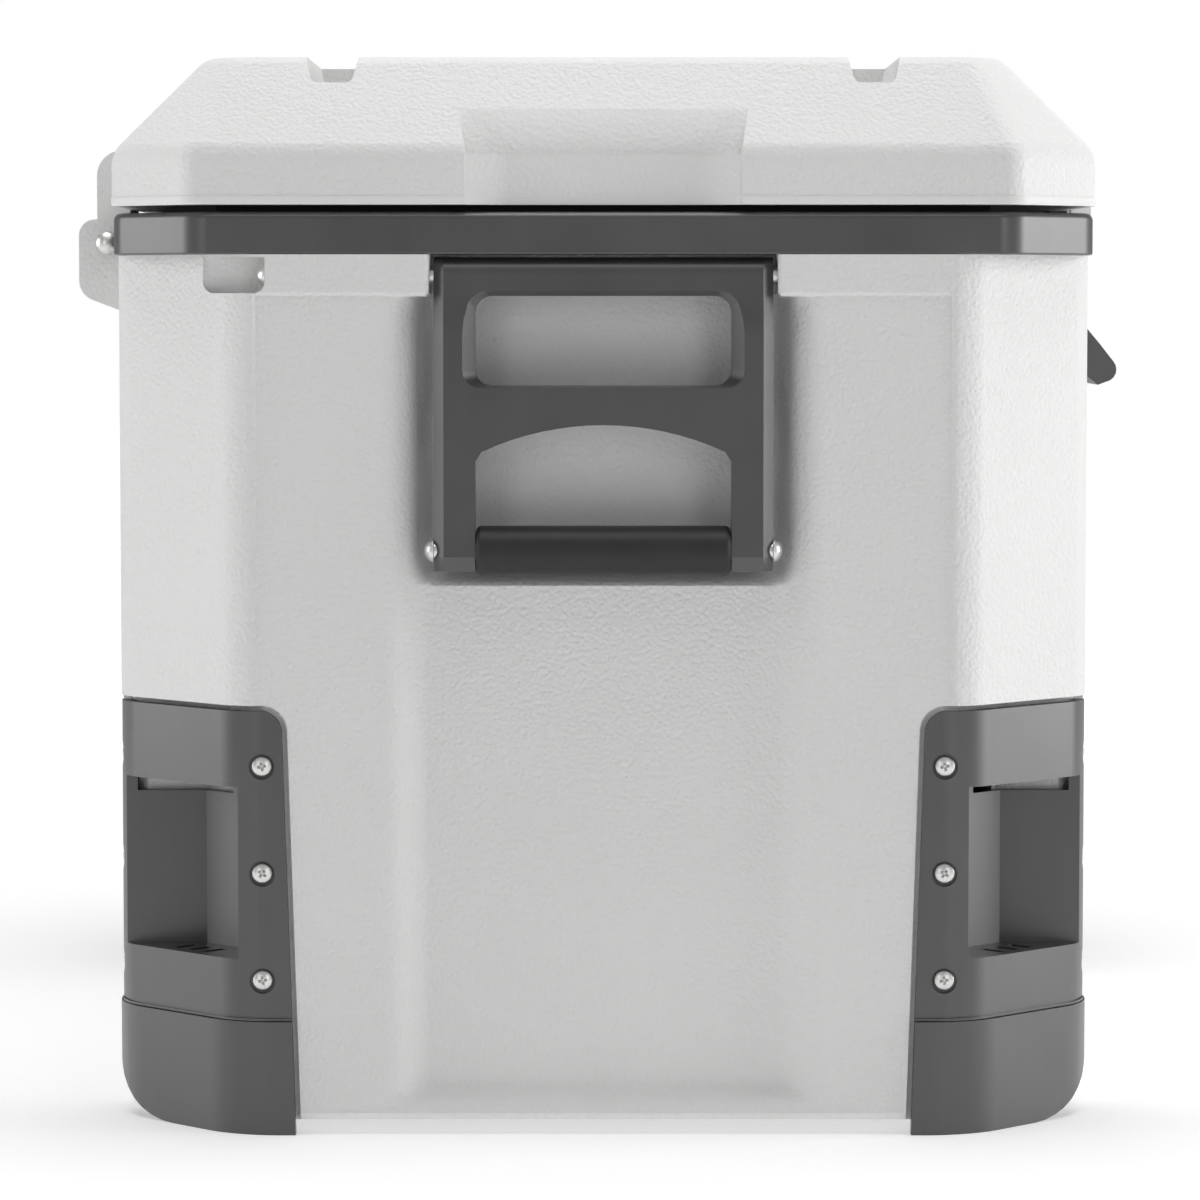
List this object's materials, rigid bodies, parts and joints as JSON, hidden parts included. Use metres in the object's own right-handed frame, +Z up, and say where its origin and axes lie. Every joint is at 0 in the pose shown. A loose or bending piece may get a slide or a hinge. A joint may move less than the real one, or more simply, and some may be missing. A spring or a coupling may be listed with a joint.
{
  "type": "wheeled hard cooler",
  "caption": "Hard cooler on wheels with an insulated tub, a hinged lid held by side latches, a swing tow handle and tie-down corner guards.",
  "frame": {"origin": "on the ground under the middle of the object's bounding box", "axes": "+Z up, +X towards the latch side, -X towards the hinge side, -Y towards the tow handle, +Y towards the wheels"},
  "size_m": [0.4878, 0.716, 0.483],
  "materials": {
    "white_shell": "fine pebble texture",
    "liner_plastic": "smooth",
    "foam": "closed-cell foam, unseen",
    "dark_plastic": "satin",
    "foot_plastic": "satin",
    "stainless": "polished heads",
    "tyre_rubber": "ribbed tread",
    "bush_plastic": "smooth",
    "grip_rubber": "fine matt",
    "gasket_rubber": "matt",
    "latch_rubber": "satin"
  },
  "bodies": {
    "tub": {"outer_shell": "white_shell", "inner_liner": "liner_plastic", "insulation_foam": "foam", "rim_frame": "dark_plastic", "guard_front": "dark_plastic", "guard_rear": "dark_plastic", "foot_front": "foot_plastic", "foot_rear": "foot_plastic", "guard_screws": "stainless", "wheel_housing_front": "dark_plastic", "wheel_housing_rear": "dark_plastic", "housing_screws": "stainless", "axle_front": "stainless", "axle_rear": "stainless", "handle_pivot_rod": "stainless", "hinge_rod_handle_end": "stainless", "hinge_rod_wheel_end": "stainless", "latch_keeper_handle_end": "dark_plastic", "latch_keeper_wheel_end": "dark_plastic", "keeper_screws": "stainless", "drain_fitting": "dark_plastic", "drain_washer": "gasket_rubber", "drain_nut": "dark_plastic"},
    "lid": {"lid_shell": "white_shell", "lid_liner": "liner_plastic", "lid_foam": "foam", "lid_gasket": "gasket_rubber", "latch_pin_handle_end": "stainless", "latch_pin_wheel_end": "stainless"},
    "tow_handle": {"handle_frame": "dark_plastic", "grip_bolt": "stainless"},
    "grip": {"handle_grip": "grip_rubber"},
    "latch_handle_end": {"latch_lever_handle_end": "latch_rubber"},
    "latch_wheel_end": {"latch_lever_wheel_end": "latch_rubber"},
    "wheel_front": {"tyre_front": "tyre_rubber", "hub_front": "dark_plastic", "wheel_bush_front": "bush_plastic"},
    "wheel_rear": {"tyre_rear": "tyre_rubber", "hub_rear": "dark_plastic", "wheel_bush_rear": "bush_plastic"},
    "drain_stopper": {"drain_plug": "dark_plastic", "drain_seal": "gasket_rubber"},
    "drain_cap": {"drain_knob": "dark_plastic"}
  },
  "joints": [
    {"name": "lid_hinge", "type": "hinge", "parent": "tub", "child": "lid", "pos_m": [-0.2309, 0, 0.3999], "axis": [0, -1, 0], "range_deg": [0, 100]},
    {"name": "tow_handle_swing", "type": "hinge", "parent": "tub", "child": "tow_handle", "pos_m": [0, -0.342, 0.3846], "axis": [-1, 0, 0], "range_deg": [0, 90]},
    {"name": "grip_spin", "type": "hinge", "parent": "tow_handle", "child": "grip", "pos_m": [0, -0.3469, 0.2622], "axis": [1, 0, 0], "continuous": true},
    {"name": "latch_swing_handle_end", "type": "hinge", "parent": "lid", "child": "latch_handle_end", "pos_m": [0.2195, -0.18, 0.43], "axis": [0, -1, 0], "range_deg": [0, 100]},
    {"name": "latch_swing_wheel_end", "type": "hinge", "parent": "lid", "child": "latch_wheel_end", "pos_m": [0.2195, 0.18, 0.43], "axis": [0, -1, 0], "range_deg": [0, 100]},
    {"name": "wheel_spin_front", "type": "hinge", "parent": "tub", "child": "wheel_front", "pos_m": [0.1967, 0.283, 0.075], "axis": [1, 0, 0], "continuous": true},
    {"name": "wheel_spin_rear", "type": "hinge", "parent": "tub", "child": "wheel_rear", "pos_m": [-0.1967, 0.283, 0.075], "axis": [1, 0, 0], "continuous": true},
    {"name": "drain_unscrew_slide", "type": "slide", "parent": "tub", "child": "drain_stopper", "axis": [0, 1, 0], "range_m": [0, 0.012]},
    {"name": "drain_unscrew_turn", "type": "hinge", "parent": "drain_stopper", "child": "drain_cap", "pos_m": [0, 0.34, 0.088], "axis": [0, 1, 0], "range_deg": [0, 1440]}
  ],
  "couplings": [
    {"joint": "drain_unscrew_slide", "follows": "drain_unscrew_turn", "m_per_rad": 0.000477}
  ]
}
